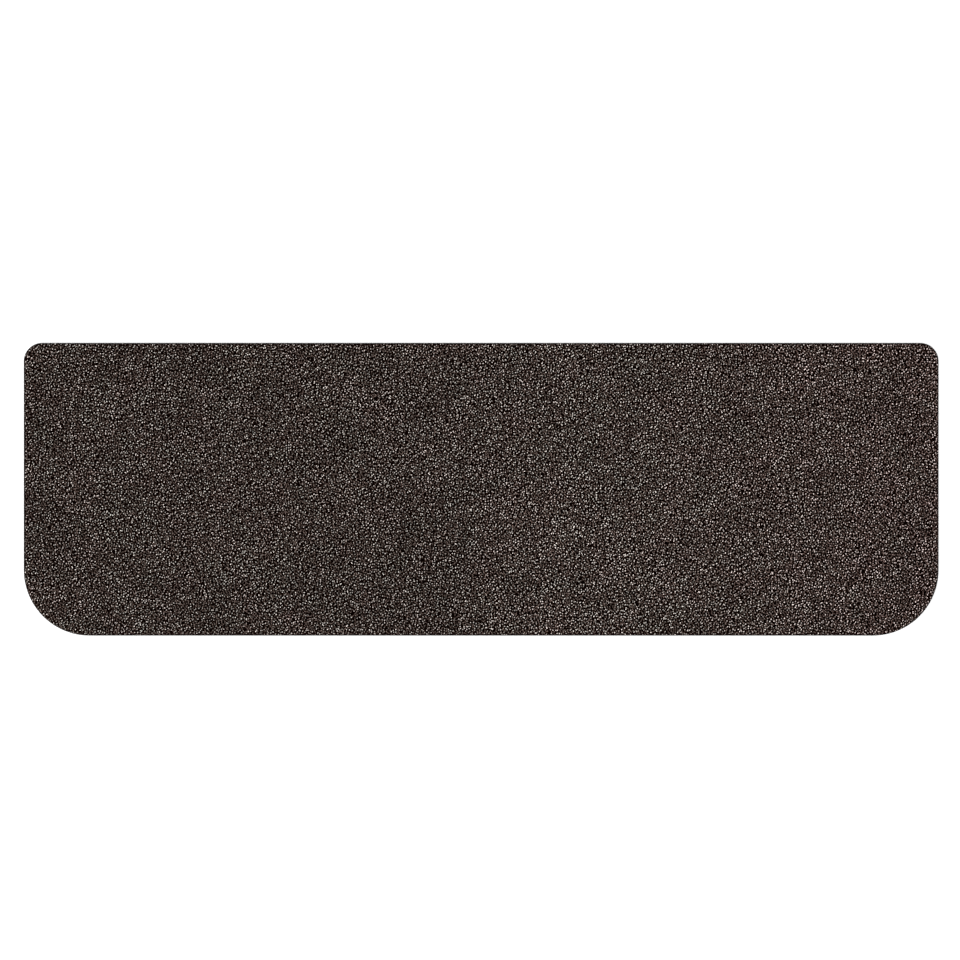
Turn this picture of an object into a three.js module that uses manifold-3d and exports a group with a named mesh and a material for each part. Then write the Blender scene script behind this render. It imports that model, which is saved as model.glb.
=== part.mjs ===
// Anti-slip stair tread mat: a carpet face bonded to a moulded rubber backing.
//
// The mat lies flat on one step. +X runs along the step, -Y points to the step's nose,
// +Z is up, and the origin lies on the floor under the middle of the mat.
// Two corners at the nose have a large radius, and two at the riser a small one.
// All lengths are in millimetres.

import * as THREE from "three";
import { mergeGeometries, mergeVertices } from "three/addons/utils/BufferGeometryUtils.js";
import Module from "manifold-3d";

// Outline of the mat, seen from above
const MAT_LENGTH = 750;
const MAT_DEPTH = 240;
const NOSE_CORNER_RADIUS = 54;
const RISER_CORNER_RADIUS = 15;
const NOSE_CORNER_STEPS = 12;
const RISER_CORNER_STEPS = 6;

// Rubber backing: a thin sheet with a broken lower edge, standing on grip studs
const SHEET_THICKNESS = 1.5;
const SHEET_EDGE_BREAK = 0.3;

// Grip studs: tapered six-sided pegs in staggered rows under the sheet
const STUD_HEIGHT = 0.8;
const STUD_FOOT_WIDTH = 5;
const STUD_ROOT_WIDTH = 6.4;
const STUD_PITCH = 22;
const STUD_EDGE_MARGIN = 5;
const STUD_SIDES = 6;

// Carpet face: pile and the scrim that holds it, cut through a little inside the rubber's edge
const CARPET_THICKNESS = 4.7;
const CARPET_EDGE_INSET = 0.4;
const PILE_SHOULDER_RADIUS = 1.6;
const PILE_SHOULDER_STEPS = 4;

// Levels that the sizes above lead to
const SHEET_BOTTOM = STUD_HEIGHT;
const SHEET_TOP = SHEET_BOTTOM + SHEET_THICKNESS;
const PILE_TOP = SHEET_TOP + CARPET_THICKNESS;

const wasm = await Module();
wasm.setup();

/** Points round one corner of the outline, anticlockwise through a quarter turn from startAngle. */
function cornerArc(centreX, centreY, radius, startAngle, steps) {
  return Array.from({ length: steps + 1 }, (_, step) => {
    const angle = startAngle + (step / steps) * (Math.PI / 2);
    const x = centreX + radius * Math.cos(angle);
    const y = centreY + radius * Math.sin(angle);
    return new THREE.Vector2(x, y);
  });
}

/** The mat's outline, drawn in by inset on every side, anticlockwise from the left nose corner. */
function outline(inset) {
  const noseX = MAT_LENGTH / 2 - NOSE_CORNER_RADIUS;
  const noseY = NOSE_CORNER_RADIUS - MAT_DEPTH / 2;
  const riserX = MAT_LENGTH / 2 - RISER_CORNER_RADIUS;
  const riserY = MAT_DEPTH / 2 - RISER_CORNER_RADIUS;
  const noseRadius = NOSE_CORNER_RADIUS - inset;
  const riserRadius = RISER_CORNER_RADIUS - inset;
  return [
    ...cornerArc(-noseX, noseY, noseRadius, Math.PI, NOSE_CORNER_STEPS),
    ...cornerArc(noseX, noseY, noseRadius, 1.5 * Math.PI, NOSE_CORNER_STEPS),
    ...cornerArc(riserX, riserY, riserRadius, 0, RISER_CORNER_STEPS),
    ...cornerArc(-riserX, riserY, riserRadius, 0.5 * Math.PI, RISER_CORNER_STEPS),
  ];
}

/** How far a point seen from above lies inside the outline. It is negative outside. */
function depthInside(x, y) {
  const radius = y < 0 ? NOSE_CORNER_RADIUS : RISER_CORNER_RADIUS;
  const pastX = Math.abs(x) - MAT_LENGTH / 2 + radius;
  const pastY = Math.abs(y) - MAT_DEPTH / 2 + radius;
  const beyondCorner = Math.hypot(Math.max(pastX, 0), Math.max(pastY, 0));
  return radius - beyondCorner - Math.min(Math.max(pastX, pastY), 0);
}

/** A closed body through rings of the outline, each { inset, z }, given from the lowest up. */
function loftRings(rings) {
  const contours = rings.map((ring) => outline(ring.inset));
  const count = contours[0].length;
  const position = contours.flatMap((contour, level) =>
    contour.flatMap((point) => [point.x, point.y, rings[level].z]),
  );
  const index = [];
  for (let level = 0; level + 1 < rings.length; level += 1) {
    for (let side = 0; side < count; side += 1) {
      const here = level * count + side;
      const next = level * count + ((side + 1) % count);
      index.push(here, next, next + count, here, next + count, here + count);
    }
  }
  const topStart = (rings.length - 1) * count;
  for (const [a, b, c] of THREE.ShapeUtils.triangulateShape(contours[0], [])) {
    index.push(c, b, a);
  }
  for (const [a, b, c] of THREE.ShapeUtils.triangulateShape(contours.at(-1), [])) {
    index.push(topStart + a, topStart + b, topStart + c);
  }
  const geometry = new THREE.BufferGeometry();
  geometry.setAttribute("position", new THREE.Float32BufferAttribute(position, 3));
  geometry.setIndex(index);
  return geometry;
}

/** The carpet face: a straight cut edge, and a rounded shoulder where the pile leans outwards. */
function carpetGeometry() {
  const shoulder = Array.from({ length: PILE_SHOULDER_STEPS + 1 }, (_, step) => {
    const turn = (step / PILE_SHOULDER_STEPS) * (Math.PI / 2);
    return {
      inset: CARPET_EDGE_INSET + PILE_SHOULDER_RADIUS * (1 - Math.cos(turn)),
      z: PILE_TOP - PILE_SHOULDER_RADIUS * (1 - Math.sin(turn)),
    };
  });
  return loftRings([{ inset: CARPET_EDGE_INSET, z: SHEET_TOP }, ...shoulder]);
}

/** The plain rubber sheet, without its studs. */
function sheetGeometry() {
  return loftRings([
    { inset: SHEET_EDGE_BREAK, z: SHEET_BOTTOM },
    { inset: 0, z: SHEET_BOTTOM + SHEET_EDGE_BREAK },
    { inset: 0, z: SHEET_TOP },
  ]);
}

/** Middles of the studs: staggered rows about the mat's middle that stay inside the edge margin. */
function studCentres() {
  const rowPitch = STUD_PITCH * Math.sqrt(0.75);
  const mostRows = Math.ceil(MAT_DEPTH / 2 / rowPitch);
  const mostInRow = Math.ceil(MAT_LENGTH / 2 / STUD_PITCH);
  const needed = STUD_ROOT_WIDTH / 2 + STUD_EDGE_MARGIN;
  const centres = [];
  for (let row = -mostRows; row <= mostRows; row += 1) {
    const shift = row % 2 ? STUD_PITCH / 2 : 0;
    for (let place = -mostInRow; place <= mostInRow; place += 1) {
      const x = place * STUD_PITCH + shift;
      const y = row * rowPitch;
      if (depthInside(x, y) >= needed) {
        centres.push(new THREE.Vector2(x, y));
      }
    }
  }
  return centres;
}

/** All the studs as one geometry. Each rises from its foot on the floor to half way up the sheet. */
function studsGeometry() {
  const rootDepth = SHEET_THICKNESS / 2;
  const taper = (STUD_ROOT_WIDTH - STUD_FOOT_WIDTH) / STUD_HEIGHT;
  const footRadius = STUD_FOOT_WIDTH / 2;
  const buriedRadius = (STUD_ROOT_WIDTH + taper * rootDepth) / 2;
  const height = STUD_HEIGHT + rootDepth;
  const stud = new THREE.CylinderGeometry(buriedRadius, footRadius, height, STUD_SIDES);
  stud.rotateX(Math.PI / 2);
  stud.translate(0, 0, height / 2);
  return mergeGeometries(studCentres().map(({ x, y }) => stud.clone().translate(x, y, 0)));
}

/** A geometry as a solid that can be joined or cut. */
function toSolid(geometry) {
  const bare = geometry.clone();
  bare.deleteAttribute("normal");
  bare.deleteAttribute("uv");
  const merged = mergeVertices(bare);
  return new wasm.Manifold(
    new wasm.Mesh({
      numProp: 3,
      vertProperties: merged.attributes.position.array,
      triVerts: new Uint32Array(merged.index.array),
    }),
  );
}

/** A solid as a geometry that a mesh can hold. */
function toGeometry(solid) {
  const { numProp, vertProperties, triVerts } = solid.getMesh();
  const geometry = new THREE.BufferGeometry();
  geometry.setAttribute("position", new THREE.BufferAttribute(vertProperties, numProp));
  geometry.setIndex(new THREE.BufferAttribute(triVerts, 1));
  return geometry;
}

/** A named mesh with flat facets in its own material. */
function namedMesh(name, geometry, finish) {
  const faceted = geometry.toNonIndexed();
  faceted.computeVertexNormals();
  const mesh = new THREE.Mesh(faceted, new THREE.MeshStandardMaterial(finish));
  mesh.name = name;
  return mesh;
}

const carpetFinish = { color: 0x403835, roughness: 1, metalness: 0 };
const rubberFinish = { color: 0x1b1a1a, roughness: 0.75, metalness: 0 };

const backing = toSolid(sheetGeometry()).add(toSolid(studsGeometry()));

const mat = new THREE.Group();
mat.name = "stair_tread_mat";
mat.add(namedMesh("rubber_backing", toGeometry(backing), rubberFinish));
mat.add(namedMesh("carpet_face", carpetGeometry(), carpetFinish));

export default mat;
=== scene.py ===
"""Looks of the stair tread mat: twisted pile on a studded rubber backing, in a plain studio.

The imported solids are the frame. Lengths are in metres, +X runs along the step, -Y points to
the step's nose, +Z is up, and the floor is at zero height under the middle of the mat.
"""

import logging
import math
from dataclasses import dataclass, field
from enum import Enum

import bpy
import numpy as np
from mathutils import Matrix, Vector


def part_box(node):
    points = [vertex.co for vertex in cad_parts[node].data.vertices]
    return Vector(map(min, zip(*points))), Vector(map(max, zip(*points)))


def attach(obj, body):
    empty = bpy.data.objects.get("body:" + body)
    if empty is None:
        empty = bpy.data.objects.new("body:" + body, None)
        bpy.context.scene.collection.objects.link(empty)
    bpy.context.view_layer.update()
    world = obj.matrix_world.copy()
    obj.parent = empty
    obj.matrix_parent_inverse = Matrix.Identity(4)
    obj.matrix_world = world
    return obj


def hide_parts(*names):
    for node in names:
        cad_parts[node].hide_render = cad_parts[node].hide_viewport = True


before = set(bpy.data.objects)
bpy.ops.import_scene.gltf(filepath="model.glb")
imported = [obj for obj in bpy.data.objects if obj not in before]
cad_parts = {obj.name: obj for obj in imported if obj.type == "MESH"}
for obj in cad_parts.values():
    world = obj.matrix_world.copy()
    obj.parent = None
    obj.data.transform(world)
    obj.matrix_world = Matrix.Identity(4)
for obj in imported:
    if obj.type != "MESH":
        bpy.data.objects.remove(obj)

MM = 0.001
BODY = "root"
log = logging.getLogger("tread_mat")

# A linear colour with its alpha, and a place where a node takes in or gives out a value
Colour = tuple[float, float, float, float]
Socket = bpy.types.NodeSocket

# The least length that anything is divided by
LEAST_LENGTH = 1e-9

# What is left of a rounding's radius beyond the middle of its arc, about 1 less the cosine of 45 degrees
MID_ARC = 0.3


def srgb(red: int, green: int, blue: int) -> Colour:
    """A display colour as the linear colour that shaders work with.

    Args:
        red: Red from 0 to 255.
        green: Green from 0 to 255.
        blue: Blue from 0 to 255.

    Returns:
        Linear red, green and blue, and an alpha of 1. Each channel c is c / 12.92 near black
        and ((c + 0.055) / 1.055) to the power 2.4 above it.
    """
    shares = [channel / 255 for channel in (red, green, blue)]
    linear = [c / 12.92 if c <= 0.04045 else ((c + 0.055) / 1.055) ** 2.4 for c in shares]
    return (*linear, 1.0)


# Meshes


@dataclass
class Surface:
    """A closed triangle surface on its way into a mesh."""

    vertices: np.ndarray
    triangles: np.ndarray
    corner_uv: np.ndarray | None = None
    values: dict[str, np.ndarray] = field(default_factory=dict)

    def into_piece(self, name: str, material: bpy.types.Material, slot: str, node: str) -> bpy.types.Object:
        """Makes the surface a smooth piece that stands for a solid and rides on the mat's body.

        Args:
            name: The piece's name.
            material: Its finish.
            slot: The record's material slot; not used.
            node: The solid that it stands for.

        Returns:
            The piece, at the origin, with its place in its mesh.
        """
        mesh = bpy.data.meshes.new(name)
        corners = self.triangles.size
        mesh.vertices.add(len(self.vertices))
        mesh.vertices.foreach_set("co", self.vertices.astype(np.float32).ravel())
        mesh.loops.add(corners)
        mesh.loops.foreach_set("vertex_index", self.triangles.astype(np.int32).ravel())
        mesh.polygons.add(len(self.triangles))
        mesh.polygons.foreach_set("loop_start", np.arange(0, corners, 3, dtype=np.int32))
        mesh.update(calc_edges=True)
        mesh.shade_smooth()
        if self.corner_uv is not None:
            uv_map = mesh.uv_layers.new(name="OFBake")
            uv_map.data.foreach_set("uv", self.corner_uv.astype(np.float32).ravel())
        for label, numbers in self.values.items():
            attribute = mesh.attributes.new(label, "FLOAT", "POINT")
            attribute.data.foreach_set("value", numbers.astype(np.float32).ravel())
        mesh.materials.append(material)
        piece = bpy.data.objects.new(name, mesh)
        bpy.context.scene.collection.objects.link(piece)
        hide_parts(node)
        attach(piece, BODY)
        log.info("%s: %d triangles", name, len(self.triangles))
        return piece


def joined(parts: list[Surface]) -> Surface:
    """Several surfaces as one, with the later ones' vertices numbered on from the earlier ones'.

    Args:
        parts: Surfaces without maps or values.

    Returns:
        One surface that holds them all.
    """
    starts = np.cumsum([0] + [len(part.vertices) for part in parts[:-1]])
    vertices = np.concatenate([part.vertices for part in parts])
    triangles = np.concatenate([part.triangles + start for part, start in zip(parts, starts)])
    return Surface(vertices, triangles)


def strip_triangles(sides: int, rings: int) -> np.ndarray:
    """Triangles between the rings of a stack, two to a side.

    Vertex r * sides + s is place s on ring r.

    Args:
        sides: Vertices in a ring, anticlockwise seen from above.
        rings: Rings, from the lowest up.

    Returns:
        Vertex numbers, three a row, facing out.
    """
    here = np.arange(sides)
    after = (here + 1) % sides
    low = (np.arange(rings - 1) * sides)[:, None]
    high = low + sides
    first = np.stack([low + here, low + after, high + after], axis=-1)
    second = np.stack([low + here, high + after, high + here], axis=-1)
    return np.concatenate([first.reshape(-1, 3), second.reshape(-1, 3)])


def lathe_triangles(sides: int, rings: int) -> np.ndarray:
    """Triangles of a stack of rings with a flat cap below and a pole above.

    The vertices are numbered ring by ring, and the pole comes last. The caps are fans.

    Args:
        sides: Vertices in a ring, anticlockwise seen from above.
        rings: Rings, from the lowest up.

    Returns:
        Vertex numbers, three a row, facing out.
    """
    here = np.arange(sides)
    after = (here + 1) % sides
    top = (rings - 1) * sides
    pole = np.full(sides, rings * sides)
    upper = np.stack([top + here, top + after, pole], axis=-1)
    fan = np.arange(1, sides - 1)
    lower = np.stack([np.zeros_like(fan), fan + 1, fan], axis=-1)
    return np.concatenate([lower, strip_triangles(sides, rings), upper])


def repeated(triangles: np.ndarray, vertices_each: int, copies: int) -> np.ndarray:
    """The triangles of many like shapes, each copy's numbers moved on by its own vertices.

    Args:
        triangles: One copy's triangles.
        vertices_each: Vertices in one copy.
        copies: How many copies there are.

    Returns:
        All the triangles, copy by copy.
    """
    starts = np.arange(copies)[:, None, None] * vertices_each
    return (triangles[None] + starts).reshape(-1, 3)


# Angles


def corner_angles(sides: int) -> np.ndarray:
    """Angles of the corners of a regular polygon, from 0 on."""
    return np.arange(sides) * (2 * math.pi / sides)


def on_circle(angle: np.ndarray) -> np.ndarray:
    """The x and y of the point on the unit circle at each angle, in a last axis of two."""
    return np.stack([np.cos(angle), np.sin(angle)], axis=-1)


def drawn_to(way: float, share: float, angle: np.ndarray) -> np.ndarray:
    """Even angles made uneven, so that lines at them lie along a way more often than across it.

    An angle becomes itself less the share times the sine of twice its angle from the way.

    Args:
        way: The way's angle.
        share: From 0, which changes nothing, to 0.5.
        angle: Angles that are all as likely.

    Returns:
        The uneven angles.
    """
    return angle - share * np.sin(2 * (angle - way))


# Outline


@dataclass(frozen=True)
class TreadOutline:
    """The mat seen from above: a rectangle with large corners at the nose and small ones at the riser."""

    half_length: float
    half_depth: float
    nose_radius: float = 54 * MM
    riser_radius: float = 15 * MM

    @classmethod
    def of_solid(cls, node: str) -> "TreadOutline":
        """The outline that fits the box of a solid.

        Args:
            node: The solid's name.

        Returns:
            An outline with that solid's length and depth.
        """
        low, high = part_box(node)
        return cls(half_length=(high.x - low.x) / 2, half_depth=(high.y - low.y) / 2)

    def corner_radius(self, y: np.ndarray) -> np.ndarray:
        """The radius of the corners on each point's half of the mat."""
        return np.where(y < 0, self.nose_radius, self.riser_radius)

    def depth_inside(self, x: np.ndarray, y: np.ndarray) -> np.ndarray:
        """How far points lie inside the outline.

        With p the distance past the corner circle's centre along x and y, the depth is the
        radius, less the length of the positive part of p, less the larger of p where both
        are negative.

        Args:
            x: Places along the step.
            y: Places from the nose to the riser.

        Returns:
            The depths, negative outside.
        """
        radius = self.corner_radius(y)
        past_x = np.abs(x) - self.half_length + radius
        past_y = np.abs(y) - self.half_depth + radius
        beyond = np.hypot(np.maximum(past_x, 0), np.maximum(past_y, 0))
        return radius - beyond - np.minimum(np.maximum(past_x, past_y), 0)

    def held_inside(self, x: np.ndarray, y: np.ndarray, inset: float) -> tuple[np.ndarray, np.ndarray]:
        """Points beyond the cut line, drawn straight back onto it.

        The positive part of p, the distance past the corner circle's centre, is shortened to
        the radius less the inset. On the straight sides this moves a point square to the side.

        Args:
            x: Places along the step.
            y: Places from the nose to the riser.
            inset: How far the cut line lies inside the outline.

        Returns:
            The points' new x and y.
        """
        radius = self.corner_radius(y)
        core_x = self.half_length - radius
        core_y = self.half_depth - radius
        past_x = np.abs(x) - core_x
        past_y = np.abs(y) - core_y
        out_x = np.maximum(past_x, 0)
        out_y = np.maximum(past_y, 0)
        beyond = np.maximum(np.hypot(out_x, out_y), LEAST_LENGTH)
        shrink = np.minimum(1, (radius - inset) / beyond)
        new_x = core_x + np.where(past_x > 0, out_x * shrink, past_x)
        new_y = core_y + np.where(past_y > 0, out_y * shrink, past_y)
        return np.copysign(new_x, x), np.copysign(new_y, y)

    def ring(self, inset: float, corner_steps: int) -> np.ndarray:
        """The outline as points, anticlockwise from the left nose corner.

        Each corner is a quarter circle about its own centre, and the sides join them.

        Args:
            inset: How far inside the outline the points lie.
            corner_steps: Steps in each corner.

        Returns:
            Points as rows of x and y.
        """
        corners = [
            (-1, -1, self.nose_radius, math.pi),
            (1, -1, self.nose_radius, 1.5 * math.pi),
            (1, 1, self.riser_radius, 0.0),
            (-1, 1, self.riser_radius, 0.5 * math.pi),
        ]
        turn = np.linspace(0, math.pi / 2, corner_steps + 1)
        arcs = []
        for side_x, side_y, radius, start in corners:
            centre = (side_x * (self.half_length - radius), side_y * (self.half_depth - radius))
            arcs.append(centre + (radius - inset) * on_circle(start + turn))
        return np.concatenate(arcs)

    def slab(self, profile: list[tuple[float, float]], corner_steps: int = 24) -> Surface:
        """A closed slab whose edge follows a profile carried round the outline.

        Args:
            profile: Inset and height pairs, from the lowest up.
            corner_steps: Steps in each corner.

        Returns:
            The slab. Its two flat faces are fans about their middles.
        """
        rings = [self.ring(inset, corner_steps) for inset, _ in profile]
        count = len(rings[0])
        levels = [np.column_stack([ring, np.full(count, z)]) for ring, (_, z) in zip(rings, profile)]
        middles = np.array([[0, 0, profile[0][1]], [0, 0, profile[-1][1]]])
        vertices = np.concatenate([*levels, middles])
        here = np.arange(count)
        after = (here + 1) % count
        top = (len(profile) - 1) * count
        below = np.stack([np.full(count, top + count), after, here], axis=-1)
        above = np.stack([np.full(count, top + count + 1), top + here, top + after], axis=-1)
        return Surface(vertices, np.concatenate([strip_triangles(count, len(profile)), below, above]))


# Shader building


# A Mix node's sockets for colours, by number because their names come more than once
MIX_SHARE, MIX_FIRST, MIX_SECOND, MIX_RESULT = 0, 6, 7, 2

# Nearly all of a noise's values lie between these two
NOISE_LOW, NOISE_HIGH = 0.3, 0.7


class NodeBench:
    """A node tree with short ways to place nodes and link them."""

    def __init__(self, tree: bpy.types.NodeTree) -> None:
        """Takes the tree that the nodes go into."""
        self.tree = tree

    def place(self, kind: str, settings: dict | None = None, **inputs: object) -> bpy.types.Node:
        """Adds a node and fills its inputs.

        Args:
            kind: The node's type in Blender, without the leading ShaderNode.
            settings: Properties of the node itself.
            inputs: Input names, with underscores for spaces, to a value or a socket.

        Returns:
            The node.
        """
        node = self.tree.nodes.new("ShaderNode" + kind)
        for label, value in (settings or {}).items():
            setattr(node, label, value)
        for label, value in inputs.items():
            self.feed(node.inputs[label.replace("_", " ")], value)
        return node

    def feed(self, socket: Socket, value: object) -> None:
        """Links a socket to the input, or sets the input to a plain value."""
        if isinstance(value, Socket):
            self.tree.links.new(value, socket)
        else:
            socket.default_value = value

    def maths(self, operation: str, *operands: object, clamp: bool = False) -> Socket:
        """One step of arithmetic.

        Args:
            operation: The operation's name in Blender.
            operands: Values or sockets, in order.
            clamp: Whether the result is held between 0 and 1.

        Returns:
            The result's socket.
        """
        node = self.place("Math", {"operation": operation, "use_clamp": clamp})
        for socket, value in zip(node.inputs, operands):
            self.feed(socket, value)
        return node.outputs[0]

    def ramp(self, value: object, low: float, high: float, to_low: float, to_high: float) -> Socket:
        """A value carried from one range to another on a straight line, and held inside it.

        Args:
            value: The socket to carry over.
            low: Start of the first range.
            high: End of the first range.
            to_low: What low becomes.
            to_high: What high becomes.

        Returns:
            The carried value's socket.
        """
        node = self.place("MapRange", {"clamp": True})
        for socket, number in zip(node.inputs, (value, low, high, to_low, to_high)):
            self.feed(socket, number)
        return node.outputs["Result"]

    def mixed(self, blend: str, share: object, first: object, second: object) -> Socket:
        """Two colours mixed.

        Args:
            blend: The way of mixing, by its name in Blender.
            share: How much of the second colour goes in.
            first: The first colour.
            second: The second colour.

        Returns:
            The mixed colour's socket.
        """
        node = self.place("Mix", {"data_type": "RGBA", "blend_type": blend})
        self.feed(node.inputs[MIX_SHARE], share)
        self.feed(node.inputs[MIX_FIRST], first)
        self.feed(node.inputs[MIX_SECOND], second)
        return node.outputs[MIX_RESULT]

    def noise(
        self, place: Socket, waves: object, octaves: float = 2.0, rough: float = 0.6
    ) -> Socket:
        """Soft random values from 0 to 1 about a mean of one half.

        Args:
            place: The coordinates that it is read at.
            waves: Waves to the metre, a value or a socket.
            octaves: Octaves of finer noise on top.
            rough: How strong the finer octaves are.

        Returns:
            The value's socket.
        """
        sizes = {"Scale": waves, "Detail": octaves, "Roughness": rough}
        return self.place("TexNoise", {"normalize": True}, Vector=place, **sizes).outputs[0]

    def grey(self, value: Socket) -> Socket:
        """A value as a grey colour."""
        node = self.place("CombineColor")
        for socket in node.inputs[:3]:
            self.feed(socket, value)
        return node.outputs[0]


def new_group(
    name: str, inputs: dict[str, tuple[str, object]], outputs: dict[str, str]
) -> tuple[bpy.types.NodeTree, NodeBench, bpy.types.Node, bpy.types.Node]:
    """Starts a shader node group.

    Args:
        name: The group's name.
        inputs: Input names to their kind and their starting value.
        outputs: Output names to their kind.

    Returns:
        The group, its bench, its input node and its output node.
    """
    group = bpy.data.node_groups.new(name, "ShaderNodeTree")
    for label, (kind, start) in inputs.items():
        socket = group.interface.new_socket(label, in_out="INPUT", socket_type=kind)
        socket.default_value = start
    for label, kind in outputs.items():
        group.interface.new_socket(label, in_out="OUTPUT", socket_type=kind)
    entry = group.nodes.new("NodeGroupInput")
    leave = group.nodes.new("NodeGroupOutput")
    return group, NodeBench(group), entry, leave


@dataclass(frozen=True)
class PileDrift:
    """The slow change of tone and hue over the whole pile: a soft mottle, lighter towards the right half,
    and pinker towards the right end.
    """

    blotch_waves: float = 22.0
    hue_waves: float = 55.0
    halves_blend: float = 60 * MM
    pink_start: float = 120 * MM
    pink_end: float = 375 * MM
    least_pink: float = -0.05
    most_pink: float = 0.25

    def group(self) -> bpy.types.NodeTree:
        """Builds the effect from soft noise and the place along the step.

        Tone is 1, plus a soft mottle, plus a rise from the left half to the lighter right half.
        Warmth changes in small patches, and rises to a pinker right end.

        Returns:
            The node group.
        """
        group, bench, entry, leave = new_group(
            "Pile drift",
            {"Mottle": ("NodeSocketFloat", 0.5), "Rise": ("NodeSocketFloat", 0.1)},
            {"Tone": "NodeSocketFloat", "Warmth": "NodeSocketFloat"},
        )
        place = bench.place("TexCoord").outputs["Object"]
        across = bench.place("SeparateXYZ", Vector=place).outputs["X"]
        blotch = bench.maths("SUBTRACT", bench.noise(place, self.blotch_waves), 0.5)
        halves = bench.ramp(across, -self.halves_blend, self.halves_blend, -1.0, 1.0)
        mottle = bench.maths("MULTIPLY", blotch, entry.outputs["Mottle"])
        rise = bench.maths("MULTIPLY", halves, entry.outputs["Rise"])
        tone = bench.maths("ADD", 1.0, bench.maths("ADD", mottle, rise))
        hue = bench.noise(place, self.hue_waves)
        pink = bench.ramp(across, self.pink_start, self.pink_end, self.least_pink, self.most_pink)
        warmth = bench.maths("ADD", hue, pink, clamp=True)
        bench.feed(leave.inputs["Tone"], tone)
        bench.feed(leave.inputs["Warmth"], warmth)
        return group


@dataclass(frozen=True)
class FineGrain:
    """Fine grain with a chosen size: fibres across the yarn, or the skin of moulded rubber."""

    speck_start: float = 0.6
    speck_full: float = 0.72

    def group(self) -> bpy.types.NodeTree:
        """Builds the effect from soft noise, which a small stretch draws out upwards.

        Grain is the noise itself, and Specks is 1 in its few highest spots.

        Returns:
            The node group.
        """
        group, bench, entry, leave = new_group(
            "Fine grain",
            {"Waves": ("NodeSocketFloat", 2500.0), "Stretch": ("NodeSocketFloat", 1.0)},
            {"Grain": "NodeSocketFloat", "Specks": "NodeSocketFloat"},
        )
        place = bench.place("TexCoord").outputs["Object"]
        squeeze = bench.place("CombineXYZ", X=1.0, Y=1.0, Z=entry.outputs["Stretch"]).outputs[0]
        stretched = bench.place("VectorMath", {"operation": "MULTIPLY"})
        bench.feed(stretched.inputs[0], place)
        bench.feed(stretched.inputs[1], squeeze)
        grain = bench.noise(stretched.outputs[0], entry.outputs["Waves"])
        bench.feed(leave.inputs["Grain"], grain)
        bench.feed(leave.inputs["Specks"], bench.ramp(grain, self.speck_start, self.speck_full, 0.0, 1.0))
        return group


@dataclass(frozen=True)
class Effects:
    """The node groups that several finishes share."""

    pile_drift: bpy.types.NodeTree
    fine_grain: bpy.types.NodeTree


def new_material(name: str) -> tuple[bpy.types.Material, NodeBench]:
    """An empty material with its output left to link.

    Args:
        name: The material's name.

    Returns:
        The material and the bench of its node tree.
    """
    material = bpy.data.materials.new(name)
    material.use_nodes = True
    material.node_tree.nodes.clear()
    return material, NodeBench(material.node_tree)


# Finishes


# Values on a ply's vertices: how high up the pile they are, which sets the painted shade, and a chance
# number of the ply's own
HEIGHT_FOR_PAINTED_SHADE = "height_for_painted_shade"
SHADE = "shade"


class Yarn(Enum):
    """The shades that the plies of the yarn are dyed in, from light to dark."""

    IVORY = "ivory"
    BEIGE = "beige"
    STONE = "stone"
    TAUPE = "taupe"
    UMBER = "umber"
    BLACK = "black"


@dataclass(frozen=True)
class Skin:
    """A finish close up: waves and stretch of its fine grain, height of its bump, and its shine."""

    waves: float
    stretch: float
    bump_strength: float
    bump_height: float
    specular: float

    def grain(self, bench: NodeBench, effects: Effects) -> bpy.types.Node:
        """Places the fine grain among a material's nodes."""
        settings = {"node_tree": effects.fine_grain}
        return bench.place("Group", settings, Waves=self.waves, Stretch=self.stretch)

    def cover(self, bench: NodeBench, grain: bpy.types.Node, colour: object, roughness: object) -> None:
        """Ends a material with its shader, whose bump follows the fine grain.

        Args:
            bench: The bench of the material's nodes.
            grain: The fine grain's node.
            colour: The base colour's socket.
            roughness: The roughness, a value or a socket.
        """
        height = grain.outputs["Grain"]
        bump = bench.place("Bump", Strength=self.bump_strength, Distance=self.bump_height, Height=height)
        shader = bench.place(
            "BsdfPrincipled",
            Base_Color=colour,
            Roughness=roughness,
            Specular_IOR_Level=self.specular,
            Normal=bump.outputs[0],
        )
        output = bench.place("OutputMaterial")
        bench.feed(output.inputs["Surface"], shader.outputs[0])


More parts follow.
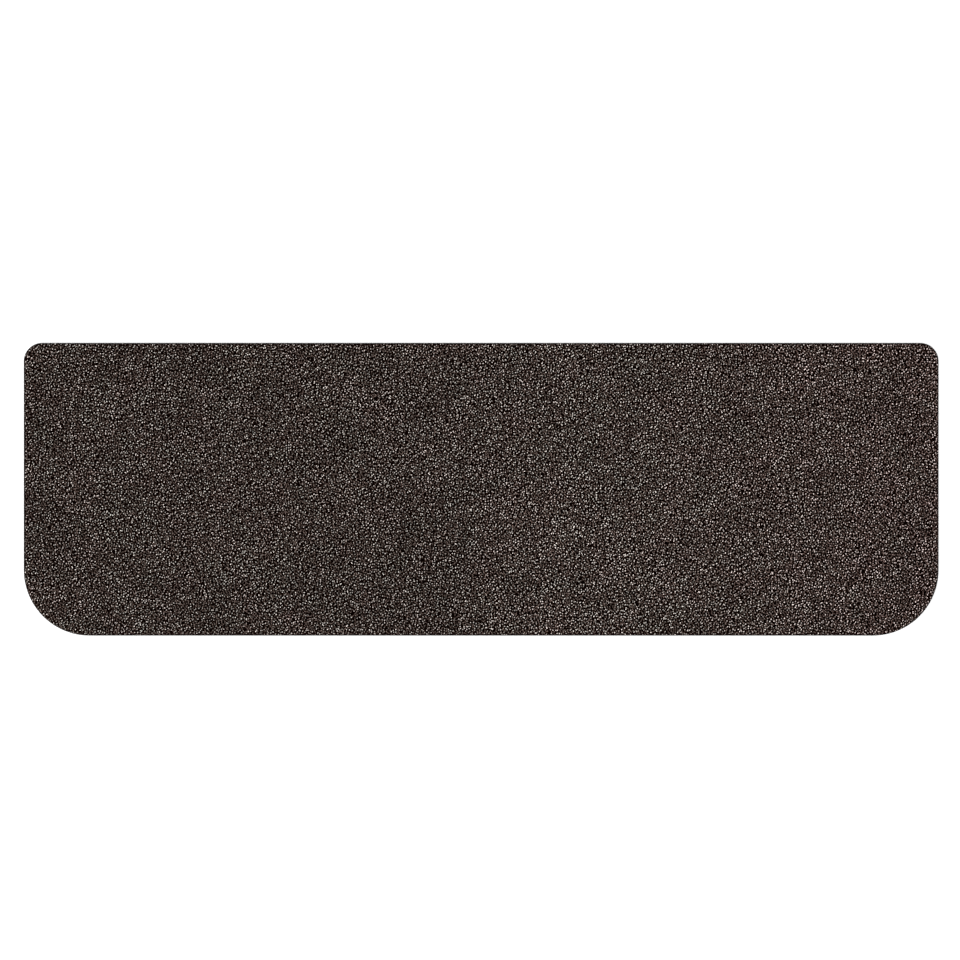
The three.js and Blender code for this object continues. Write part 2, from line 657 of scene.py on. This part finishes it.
@dataclass(frozen=True)
class YarnFinish:
    """A dyed ply: matte, fibrous and its own shade at its tip, with painted shade that darkens it to near
    black at its root.
    """

    yarn: Yarn
    tip_colour: Colour
    # Painted shade: the near black that the yarn's colour fades to towards its root
    painted_root_shade: Colour = srgb(12, 1, 0)
    cool_cast: Colour = (0.92, 1.042, 0.98, 1)
    warm_cast: Colour = (1.10, 0.957, 0.97, 1)
    shade_spread: float = 0.5
    fibre_spread: float = 0.25
    # Painted shade: up to this share of the pile's height the yarn shows only the near-black root shade
    painted_shade_below: float = 0.30
    mottle: float = 0.7
    rise: float = 0.08
    roughness: float = 0.95
    skin: Skin = Skin(waves=2600.0, stretch=0.35, bump_strength=0.5, bump_height=0.12 * MM, specular=0.03)

    def material(self, effects: Effects) -> bpy.types.Material:
        """The shade times its drift, its own tone and its fibres, with painted shade towards the root and
        on lower plies.

        Args:
            effects: The shared node groups.

        Returns:
            The material.
        """
        material, bench = new_material(f"{self.yarn.value} yarn")
        drift = bench.place("Group", {"node_tree": effects.pile_drift}, Mottle=self.mottle, Rise=self.rise)
        grain = self.skin.grain(bench, effects)
        shade = bench.place("Attribute", {"attribute_name": SHADE}).outputs["Fac"]
        height_for_painted_shade = bench.place("Attribute", {"attribute_name": HEIGHT_FOR_PAINTED_SHADE}).outputs["Fac"]
        own = bench.ramp(shade, 0.0, 1.0, 1 - self.shade_spread, 1 + self.shade_spread)
        fibre_range = (1 - self.fibre_spread, 1 + self.fibre_spread)
        fibres = bench.ramp(grain.outputs["Grain"], NOISE_LOW, NOISE_HIGH, *fibre_range)
        tone = bench.maths("MULTIPLY", bench.maths("MULTIPLY", own, fibres), drift.outputs["Tone"])
        tip = bench.mixed("MULTIPLY", 1.0, self.tip_colour, bench.grey(tone))
        cast = bench.mixed("MIX", drift.outputs["Warmth"], self.cool_cast, self.warm_cast)
        tinted = bench.mixed("MULTIPLY", 1.0, tip, cast)
        # Painted shade: the colour darkens from the tip to near black at the root, and lower plies end
        # darker
        height = bench.ramp(height_for_painted_shade, self.painted_shade_below, 1.0, 0.0, 1.0)
        colour = bench.mixed("MIX", height, self.painted_root_shade, tinted)
        self.skin.cover(bench, grain, colour, self.roughness)
        return material


@dataclass(frozen=True)
class ScrimFinish:
    """The woven layer that the tufts are rooted in, seen only between them and at the cut edge; its near
    black is partly its own dark colour and partly painted shade between the tufts.
    """

    # Partly the scrim's own dark brown and partly painted shade for the depths between the tufts
    colour: Colour = srgb(12, 1, 0)
    fleck: Colour = srgb(34, 24, 20)
    roughness: float = 1.0
    skin: Skin = Skin(waves=1400.0, stretch=0.2, bump_strength=0.8, bump_height=0.25 * MM, specular=0.03)

    def material(self, effects: Effects) -> bpy.types.Material:
        """Near-black brown, partly its own colour and partly painted shade, with a few paler fibre ends.

        Args:
            effects: The shared node groups.

        Returns:
            The material.
        """
        material, bench = new_material("pile scrim")
        grain = self.skin.grain(bench, effects)
        colour = bench.mixed("MIX", grain.outputs["Specks"], self.colour, self.fleck)
        self.skin.cover(bench, grain, colour, self.roughness)
        return material


@dataclass(frozen=True)
class RubberFinish:
    """Matte black moulded rubber with a fine skin, a little bloom, and studs scuffed at their feet."""

    colour: Colour = srgb(27, 26, 26)
    bloom: Colour = srgb(44, 43, 42)
    scuff: Colour = srgb(78, 76, 74)
    bloom_waves: float = 30.0
    bloom_octaves: float = 4.0
    bloom_start: float = 0.45
    bloom_full: float = 0.75
    most_bloom: float = 0.55
    scuff_full: float = 0.1 * MM
    scuff_end: float = 0.5 * MM
    most_scuff: float = 0.7
    least_rough: float = 0.62
    most_rough: float = 0.82
    skin: Skin = Skin(waves=2200.0, stretch=1.0, bump_strength=0.35, bump_height=0.08 * MM, specular=0.35)

    def material(self, effects: Effects) -> bpy.types.Material:
        """Black, greyed in soft patches and where it stands, with a moulded grain in its gloss and bump.

        Args:
            effects: The shared node groups.

        Returns:
            The material.
        """
        material, bench = new_material("backing rubber")
        place = bench.place("TexCoord").outputs["Object"]
        grain = self.skin.grain(bench, effects)
        noise = bench.noise(place, self.bloom_waves, self.bloom_octaves)
        patches = bench.ramp(noise, self.bloom_start, self.bloom_full, 0.0, self.most_bloom)
        aged = bench.mixed("MIX", patches, self.colour, self.bloom)
        height = bench.place("SeparateXYZ", Vector=place).outputs["Z"]
        worn = bench.ramp(height, self.scuff_full, self.scuff_end, self.most_scuff, 0.0)
        colour = bench.mixed("MIX", worn, aged, self.scuff)
        rough_range = (self.least_rough, self.most_rough)
        roughness = bench.ramp(grain.outputs["Grain"], NOISE_LOW, NOISE_HIGH, *rough_range)
        self.skin.cover(bench, grain, colour, roughness)
        return material


# Carpet


# A tuft is a light ply and a dark one
PLIES = 2


@dataclass(frozen=True)
class TuftScatter:
    """Where the tufts stand: in close stitched rows across the mat, loosened until they hardly show."""

    gauge: float = 2.117 * MM
    stitch: float = 1.89 * MM
    spare: int = 9
    shake: float = 0.75
    push_rounds: int = 8
    push_reach: float = 2.25 * MM
    push_share: float = 0.35
    near_rows: int = 2
    near_tufts: int = 3
    edge_room: float = 0.95 * MM
    edge_gather: float = 0.6 * MM

    def places(self, outline: TreadOutline, rng: np.random.Generator) -> np.ndarray:
        """Tuft middles inside the outline.

        The rows lie a gauge apart and run from the nose to the riser, with a stitch between
        tufts and a chance start for each row. There are a few spare ones, so that the outline
        is filled. Each tuft is shaken by a share of the stitch, and then each pair that is
        nearer than the reach moves apart by a share of what is missing, a few times over. A
        tuft that lacks no more than the edge gather to stand the edge room inside the outline
        is drawn in to there, and one that lacks more is left out.

        Args:
            outline: The mat's outline.
            rng: The source of chance.

        Returns:
            Points as rows of x and y.
        """
        rows = int(2 * outline.half_length / self.gauge) + self.spare
        tufts = int(2 * outline.half_depth / self.stitch) + self.spare
        row, tuft = np.meshgrid(np.arange(rows), np.arange(tufts), indexing="ij")
        x = (row - (rows - 1) / 2) * self.gauge
        y = (tuft - tufts / 2 + rng.random((rows, 1))) * self.stitch
        points = np.stack([x, y], axis=-1)
        points += rng.uniform(-self.shake, self.shake, points.shape) * self.stitch
        for _ in range(self.push_rounds):
            points += self.pushes(points)
        flat = points.reshape(-1, 2)
        kept = flat[outline.depth_inside(flat[:, 0], flat[:, 1]) >= self.edge_room - self.edge_gather]
        return np.column_stack(outline.held_inside(kept[:, 0], kept[:, 1], self.edge_room))

    def pushes(self, points: np.ndarray) -> np.ndarray:
        """How far each tuft moves away from its near neighbours in one round.

        A neighbour nearer than the reach pushes straight away, by the push share times what is
        missing. Neighbours are looked for a few rows and a few tufts to each side.

        Args:
            points: The shaken tufts, rows by tufts by x and y.

        Returns:
            The moves, in the same layout.
        """
        moves = np.zeros_like(points)
        for step_row in range(-self.near_rows, self.near_rows + 1):
            for step_tuft in range(-self.near_tufts, self.near_tufts + 1):
                if step_row == 0 and step_tuft == 0:
                    continue
                apart = points - np.roll(points, (step_row, step_tuft), axis=(0, 1))
                distance = np.maximum(np.linalg.norm(apart, axis=-1, keepdims=True), LEAST_LENGTH)
                moves += self.push_share * np.maximum(self.push_reach - distance, 0) * apart / distance
        return moves


@dataclass(frozen=True)
class PlyShape:
    """One ply of a tuft: a leaning spindle, drawn to a point at its root and swollen near its cut end."""

    sides: int = 5
    shoulder_radius: float = 0.475 * MM
    flatness: float = 1.35
    long_way: float = math.radians(60)
    lie: float = 0.5
    tip_rise: float = 0.28 * MM
    shoulder_height_for_shade: float = 0.8
    uv_ring: float = 0.3
    uv_outer: float = 0.49

    @property
    def vertices_each(self) -> int:
        """Vertices in one ply: the root, the shoulder ring and the tip."""
        return self.sides + 2

    def triangles(self) -> np.ndarray:
        """One ply's triangles: a cone up from the root, and a low cone from the shoulder to the tip.

        Returns:
            Vertex numbers, three a row. The root is 0, the ring follows, and the tip comes last.
        """
        here = np.arange(self.sides) + 1
        after = np.roll(here, -1)
        root = np.zeros(self.sides, int)
        tip = np.full(self.sides, self.sides + 1)
        lower = np.stack([root, after, here], axis=-1)
        upper = np.stack([here, after, tip], axis=-1)
        return np.concatenate([lower, upper])

    def ways(self, count: int, rng: np.random.Generator) -> np.ndarray:
        """Which way the oval of each ply's cut end is long, drawn to the long way by the lie.

        Args:
            count: How many plies there are.
            rng: The source of chance.

        Returns:
            Angles from the step's line.
        """
        return drawn_to(self.long_way, self.lie, rng.uniform(0, math.pi, count))

    def vertices(
        self,
        root: np.ndarray,
        shoulder: np.ndarray,
        tip: np.ndarray,
        swell: np.ndarray,
        spin: np.ndarray,
        way: np.ndarray,
    ) -> np.ndarray:
        """Vertices of many plies at once.

        The shoulder ring is a level polygon on an oval. The flatness is both its long radius
        over the round one and the round one over its short radius.

        Args:
            root: The points of the roots.
            shoulder: Centres of the shoulder rings.
            tip: The tips.
            swell: Each ply's thickness as a share of the usual one.
            spin: Angle of each ply's first side.
            way: Angle of each oval's long axis.

        Returns:
            Plies by vertices by x, y and z.
        """
        angle = spin[:, None] + corner_angles(self.sides)
        along = np.cos(angle) * self.flatness
        across = np.sin(angle) / self.flatness
        turn_x, turn_y = np.cos(way)[:, None], np.sin(way)[:, None]
        oval_x = along * turn_x - across * turn_y
        oval_y = along * turn_y + across * turn_x
        oval = np.stack([oval_x, oval_y, np.zeros_like(angle)], axis=-1)
        ring = shoulder[:, None] + oval * self.shoulder_radius * swell[:, None, None]
        return np.concatenate([root[:, None], ring, tip[:, None]], axis=1)

    def heights_for_painted_shade(self) -> np.ndarray:
        """How far up each vertex of a ply is, from 0 at the root to 1 at the tip, which sets its painted
        shade.
        """
        return np.array([0.0, *[self.shoulder_height_for_shade] * self.sides, 1.0])

    def corner_uv(self, count: int) -> np.ndarray:
        """A map with a square cell for each ply.

        The tip is at the cell's middle, and the shoulder ring goes round it. Each lower
        triangle is a wedge outside the ring, with the root at its outer point.

        Args:
            count: How many plies share the map.

        Returns:
            Rows of u and v, one for each corner of each triangle.
        """
        cells = math.ceil(math.sqrt(count))
        angle = corner_angles(self.sides)
        half_side = math.pi / self.sides
        ring = on_circle(angle) * self.uv_ring
        outer = on_circle(angle + half_side) * self.uv_outer
        after = np.roll(ring, -1, axis=0)
        lower = np.stack([outer, after, ring], axis=1)
        upper = np.stack([ring, after, np.zeros_like(ring)], axis=1)
        own = np.concatenate([lower, upper]) + 0.5
        number = np.arange(count)
        cell = np.stack([number % cells, number // cells], axis=-1)
        return ((own[None] + cell[:, None, None]) / cells).reshape(-1, 2)


@dataclass(frozen=True)
class CarpetFace:
    """The pile and the scrim that holds it."""

    outline: TreadOutline
    effects: Effects
    floor: float
    top: float
    scatter: TuftScatter = TuftScatter()
    ply: PlyShape = PlyShape()
    scrim_thickness: float = 0.9 * MM
    root_lift: float = 0.1 * MM
    cut_inset: float = 0.45 * MM
    scrim_inset: float = 0.6 * MM
    scrim_softening: float = 0.2 * MM
    height_spread: float = 0.30 * MM
    ply_height_spread: float = 0.30 * MM
    lean: float = 0.35 * MM
    edge_fall: float = 4.2 * MM
    edge_fall_width: float = 2.4 * MM
    ply_offset: float = 0.60 * MM
    gathered_root: float = 0.5
    shoulder_risen: float = 0.85
    stray: float = 0.10 * MM
    twist: float = math.radians(60)
    twist_spread: float = 0.5
    settling: float = 0.25
    settled_way: float = math.radians(-45)
    swell_spread: float = 0.15
    seed: int = 20

    def finishes(self) -> list[YarnFinish]:
        """The dyed shades of a tuft's plies, as seen on their tips."""
        return [
            YarnFinish(Yarn.IVORY, srgb(246, 235, 230)),
            YarnFinish(Yarn.BEIGE, srgb(188, 176, 170)),
            YarnFinish(Yarn.STONE, srgb(138, 122, 116)),
            YarnFinish(Yarn.TAUPE, srgb(98, 82, 76)),
            YarnFinish(Yarn.UMBER, srgb(70, 55, 48)),
            YarnFinish(Yarn.BLACK, srgb(40, 25, 19)),
        ]

    def spines(self, middle: np.ndarray, rng: np.random.Generator) -> list[np.ndarray]:
        """The roots, the shoulders and the tips of all the plies.

        The plies of a tuft are gathered at the root, open out on the way up, and turn round the
        tuft's middle by the twist. The tuft leans at random, and its tip falls off towards the
        cut edge by the square of its share of the way there. At the tips, the line between the
        two plies is drawn to the settled way.

        Args:
            middle: The tufts' middles, as rows of x and y.
            rng: The source of chance.

        Returns:
            Three sets of points, each with a tuft's plies in a row.
        """
        count = len(middle)
        depth = self.outline.depth_inside(middle[:, 0], middle[:, 1])
        near_edge = np.clip(1 - depth / self.edge_fall_width, 0, 1)
        fall = self.edge_fall * near_edge ** 2
        tuft_top = self.top - fall - self.height_spread * rng.random(count)
        tip_height = tuft_top[:, None] - self.ply_height_spread * rng.random((count, PLIES))
        root_height = np.full((count, PLIES), self.floor + self.root_lift)
        heading = rng.uniform(0, 2 * math.pi, count)
        lean = self.lean * np.sqrt(rng.random(count))[:, None] * on_circle(heading)
        chance = rng.uniform(0, 2 * math.pi, (count, 1))
        tip_angle = drawn_to(self.settled_way, self.settling, chance) + corner_angles(PLIES)
        turned = self.twist * rng.uniform(1 - self.twist_spread, 1 + self.twist_spread, (count, 1))
        stray = rng.uniform(-self.stray, self.stray, (count, PLIES, 2))
        shoulder_height = tip_height - self.ply.tip_rise
        levels = ((root_height, 0.0), (shoulder_height, self.shoulder_risen), (tip_height, 1.0))
        points = []
        for height, risen in levels:
            angle = tip_angle - turned * (1 - risen)
            opened = self.gathered_root + (1 - self.gathered_root) * risen
            spread = self.ply_offset * opened * on_circle(angle)
            flat = middle[:, None] + lean[:, None] * risen + spread + stray
            points.append(np.concatenate([flat, height[..., None]], axis=-1).reshape(-1, 3))
        return points

    def tufts(self, rng: np.random.Generator) -> tuple[np.ndarray, np.ndarray, np.ndarray]:
        """The vertices, the shades and the heights of all the plies.

        In each tuft a light ply is twisted round a dark one. The lightest shade goes with the
        darkest, the next with the next, and so on. What would reach past the cut is held inside.

        Args:
            rng: The source of chance.

        Returns:
            Plies by vertices by x, y and z, each ply's place in the list of finishes, and its
            height as a share of the tallest ply's.
        """
        root, shoulder, tip = self.spines(self.scatter.places(self.outline, rng), rng)
        count = len(tip)
        swell = 1 + rng.uniform(-self.swell_spread, self.swell_spread, count)
        spin = rng.uniform(0, 2 * math.pi, count)
        way = self.ply.ways(count, rng)
        vertices = self.ply.vertices(root, shoulder, tip, swell, spin, way)
        x, y = self.outline.held_inside(vertices[..., 0], vertices[..., 1], self.cut_inset)
        vertices[..., 0] = x
        vertices[..., 1] = y
        light = rng.integers(0, len(Yarn) // PLIES, count // PLIES)
        dye = np.column_stack([light, len(Yarn) - 1 - light]).reshape(-1)
        # This height share sets each ply's painted shade, so lower plies, such as those near the cut edge,
        # are darker
        reached = (tip[:, 2] - root[:, 2]) / (self.top - root[:, 2])
        return vertices, dye, reached

    def build(self) -> list[bpy.types.Object]:
        """Makes the scrim, and a piece for each shade of yarn.

        Returns:
            The pieces.
        """
        rng = np.random.default_rng(self.seed)
        vertices, dye, reached = self.tufts(rng)
        shades = rng.random(len(dye))
        one = self.ply.triangles()
        height_each_for_shade = self.ply.heights_for_painted_shade()
        pieces = [self.scrim()]
        for place, finish in enumerate(self.finishes()):
            chosen = vertices[dye == place]
            count = len(chosen)
            values = {
                HEIGHT_FOR_PAINTED_SHADE: reached[dye == place, None] * height_each_for_shade,
                SHADE: np.repeat(shades[dye == place], self.ply.vertices_each),
            }
            triangles = repeated(one, self.ply.vertices_each, count)
            surface = Surface(chosen.reshape(-1, 3), triangles, self.ply.corner_uv(count), values)
            name = f"pile_{finish.yarn.value}_yarn"
            pieces.append(surface.into_piece(name, finish.material(self.effects), "pile", "carpet_face"))
        return pieces

    def scrim(self) -> bpy.types.Object:
        """The layer under the tufts, a plain slab with a softened upper edge."""
        high = self.floor + self.scrim_thickness
        profile = [
            (self.scrim_inset, self.floor),
            (self.scrim_inset, high - self.scrim_softening),
            (self.scrim_inset + self.scrim_softening, high),
        ]
        surface = self.outline.slab(profile)
        return surface.into_piece("pile_scrim", ScrimFinish().material(self.effects), "pile", "carpet_face")


# Backing


@dataclass(frozen=True)
class RubberBacking:
    """The moulded sheet and its grip studs."""

    outline: TreadOutline
    effects: Effects
    floor: float
    top: float
    sheet_thickness: float = 1.5 * MM
    edge_break: float = 0.3 * MM
    top_break: float = 0.1 * MM
    stud_foot_radius: float = 2.5 * MM
    stud_root_radius: float = 3.2 * MM
    stud_pitch: float = 22 * MM
    stud_edge_margin: float = 5 * MM
    stud_fillet: float = 0.2 * MM
    flare_slope: float = 0.25
    stud_sides: int = 20

    def stud_middles(self) -> np.ndarray:
        """Staggered rows about the mat's middle, kept where a whole stud fits inside the margin.

        Rows lie the pitch times the root of three quarters apart, so that each stud has six
        neighbours a pitch away.

        Returns:
            Points as rows of x and y.
        """
        row_pitch = self.stud_pitch * math.sqrt(0.75)
        rows = math.ceil(self.outline.half_depth / row_pitch)
        columns = math.ceil(self.outline.half_length / self.stud_pitch)
        row_numbers = np.arange(-rows, rows + 1)
        column_numbers = np.arange(-columns, columns + 1)
        row, column = np.meshgrid(row_numbers, column_numbers, indexing="ij")
        x = ((column + 0.5 * (row % 2)) * self.stud_pitch).ravel()
        y = (row * row_pitch).ravel()
        needed = self.stud_root_radius + self.stud_edge_margin
        kept = self.outline.depth_inside(x, y) >= needed
        return np.column_stack([x[kept], y[kept]])

    def studs(self) -> Surface:
        """All the studs: a foot with a rounded rim, a tapered side and a flared root in the sheet.

        Each is a stack of rings about its axis, turned upside down so that its pole is the
        middle of the foot.

        Returns:
            One surface of many closed studs.
        """
        root = self.top - self.sheet_thickness
        foot = self.floor
        rim = self.stud_fillet
        profile = [
            (self.stud_root_radius + 2 * rim, root + rim),
            (self.stud_root_radius + rim, root),
            (self.stud_root_radius - self.flare_slope * rim, root - rim),
            (self.stud_foot_radius + MID_ARC * rim, foot + rim),
            (self.stud_foot_radius - MID_ARC * rim, foot + MID_ARC * rim),
            (self.stud_foot_radius - rim, foot),
        ]
        circle = on_circle(-corner_angles(self.stud_sides))
        rings = [np.column_stack([circle * radius, np.full(len(circle), z)]) for radius, z in profile]
        stud = np.concatenate([*rings, [[0, 0, foot]]])
        middles = self.stud_middles()
        moved = stud[None] + np.column_stack([middles, np.zeros(len(middles))])[:, None]
        triangles = repeated(lathe_triangles(self.stud_sides, len(rings)), len(stud), len(middles))
        return Surface(moved.reshape(-1, 3), triangles)

    def build(self) -> bpy.types.Object:
        """Makes the sheet and the studs one piece of rubber.

        Returns:
            The piece.
        """
        low = self.top - self.sheet_thickness
        sheet = self.outline.slab([
            (self.edge_break, low),
            (MID_ARC * self.edge_break, low + MID_ARC * self.edge_break),
            (0, low + self.edge_break),
            (0, self.top - self.top_break),
            (self.top_break, self.top),
        ])
        surface = joined([sheet, self.studs()])
        material = RubberFinish().material(self.effects)
        return surface.into_piece("rubber_backing_moulding", material, "rubber", "rubber_backing")


# Studio


@dataclass(frozen=True)
class Studio:
    """A white floor, even soft light and a camera straight above, framed as the photograph is."""

    picture_pixels: int = 960
    metre_per_pixel: float = 0.8193 * MM
    mat_right_of_centre: float = 1.15
    mat_below_centre: float = 9.29
    framed_height: float = 5 * MM
    lens: float = 200.0
    sensor: float = 36.0
    sky_strength: float = 0.95
    key_side: tuple[float, float] = (-1.9, -1.0)
    fill_side: tuple[float, float] = (1.7, 1.2)
    fill_share: float = 0.25
    lamp_height: float = 2.2
    lamp_size: float = 1.6
    lamp_power: float = 50.8
    floor_size: float = 14.0
    floor_colour: Colour = (0.9, 0.9, 0.9, 1)
    floor_glow: float = 0.3

    def build(self) -> None:
        """Makes the floor, the light and the camera."""
        self.floor()
        self.sky()
        self.lamp("key lamp", self.key_side, self.lamp_power)
        self.lamp("fill lamp", self.fill_side, self.lamp_power * self.fill_share)
        self.camera()

    def floor(self) -> None:
        """A plain white floor that glows like a light table. Light and a view from below pass through."""
        half = self.floor_size / 2
        mesh = bpy.data.meshes.new("floor")
        corners = [(-half, -half, 0), (half, -half, 0), (half, half, 0), (-half, half, 0)]
        mesh.from_pydata(corners, [], [(0, 1, 2, 3)])
        material, bench = new_material("white floor")
        matte = bench.place("BsdfDiffuse", Color=self.floor_colour)
        glow = bench.place("Emission", Color=(1, 1, 1, 1), Strength=self.floor_glow)
        white = bench.place("AddShader")
        bench.feed(white.inputs[0], matte.outputs[0])
        bench.feed(white.inputs[1], glow.outputs[0])
        clear = bench.place("BsdfTransparent")
        from_camera = bench.place("LightPath").outputs["Is Camera Ray"]
        from_below = bench.place("NewGeometry").outputs["Backfacing"]
        from_above = bench.maths("SUBTRACT", 1.0, from_below)
        shown = bench.maths("MULTIPLY", from_camera, from_above)
        mix = bench.place("MixShader", Fac=shown)
        bench.feed(mix.inputs[1], clear.outputs[0])
        bench.feed(mix.inputs[2], white.outputs[0])
        output = bench.place("OutputMaterial")
        bench.feed(output.inputs["Surface"], mix.outputs[0])
        mesh.materials.append(material)
        floor = bpy.data.objects.new("floor", mesh)
        bpy.context.scene.collection.objects.link(floor)

    def sky(self) -> None:
        """Even white light from all round."""
        world = bpy.data.worlds.new("soft white")
        world.use_nodes = True
        background = world.node_tree.nodes["Background"]
        background.inputs["Color"].default_value = (1, 1, 1, 1)
        background.inputs["Strength"].default_value = self.sky_strength
        bpy.context.scene.world = world

    def lamp(self, name: str, side: tuple[float, float], power: float) -> None:
        """A large soft lamp aimed at the middle of the mat.

        Args:
            name: The lamp's name.
            side: Its x and y.
            power: Its power in watts.
        """
        data = bpy.data.lights.new(name, "AREA")
        data.shape = "DISK"
        data.size = self.lamp_size
        data.energy = power
        lamp = bpy.data.objects.new(name, data)
        lamp.location = (*side, self.lamp_height)
        away = lamp.location.copy()
        lamp.rotation_euler = away.to_track_quat("Z", "Y").to_euler()
        bpy.context.scene.collection.objects.link(lamp)

    def camera(self) -> None:
        """A long lens straight down, so that the mat is as far off centre as in the photograph."""
        data = bpy.data.cameras.new("camera")
        data.lens = self.lens
        data.sensor_width = self.sensor
        width = self.picture_pixels * self.metre_per_pixel
        camera = bpy.data.objects.new("camera", data)
        camera.location = (
            -self.mat_right_of_centre * self.metre_per_pixel,
            self.mat_below_centre * self.metre_per_pixel,
            self.framed_height + width * self.lens / self.sensor,
        )
        bpy.context.scene.collection.objects.link(camera)
        bpy.context.scene.camera = camera


def main() -> None:
    """Builds the mat and the studio."""
    logging.basicConfig(level=logging.INFO, format="%(name)s: %(message)s")
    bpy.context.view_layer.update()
    bpy.context.scene.view_settings.view_transform = "Standard"
    outline = TreadOutline.of_solid("rubber_backing")
    backing_low, backing_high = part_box("rubber_backing")
    carpet_low, carpet_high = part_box("carpet_face")
    effects = Effects(PileDrift().group(), FineGrain().group())
    RubberBacking(outline, effects, backing_low.z, backing_high.z).build()
    CarpetFace(outline, effects, carpet_low.z, carpet_high.z).build()
    Studio().build()


if __name__ == "__main__":
    main()
